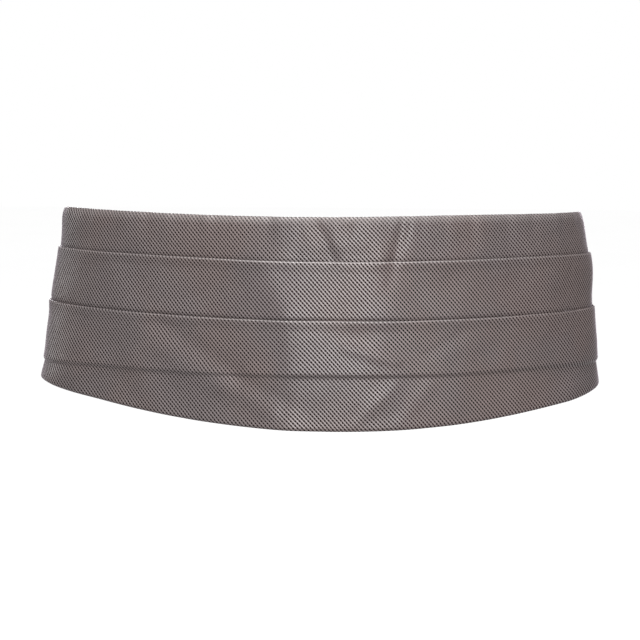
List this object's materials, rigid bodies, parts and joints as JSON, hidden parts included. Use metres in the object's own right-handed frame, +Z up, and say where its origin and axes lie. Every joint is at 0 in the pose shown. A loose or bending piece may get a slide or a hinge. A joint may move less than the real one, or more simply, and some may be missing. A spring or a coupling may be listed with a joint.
{
  "type": "cummerbund",
  "caption": "Pleated cloth cummerbund in its worn form: upward-facing folds across the front, tapering sides, straps and a plain back clasp.",
  "frame": {"origin": "middle of the waist: level with the mid height of the front, between the two widest places of the loop", "axes": "+Z up, the pleated front faces -Y, the clasp is toward +Y, +X is to the right of someone facing the front"},
  "size_m": [0.3237, 0.2029, 0.1202],
  "materials": {
    "silk": "fine bird's-eye weave in two greys with a soft sheen",
    "strap_cloth": "matt ribbed strap cloth",
    "clasp_metal": "satin dark metal"
  },
  "bodies": {
    "root": {"front_panel": "silk", "middle_pleat": "silk", "lower_pleat": "silk", "left_strap": "strap_cloth", "right_strap": "strap_cloth", "clasp": "clasp_metal"}
  },
  "joints": []
}
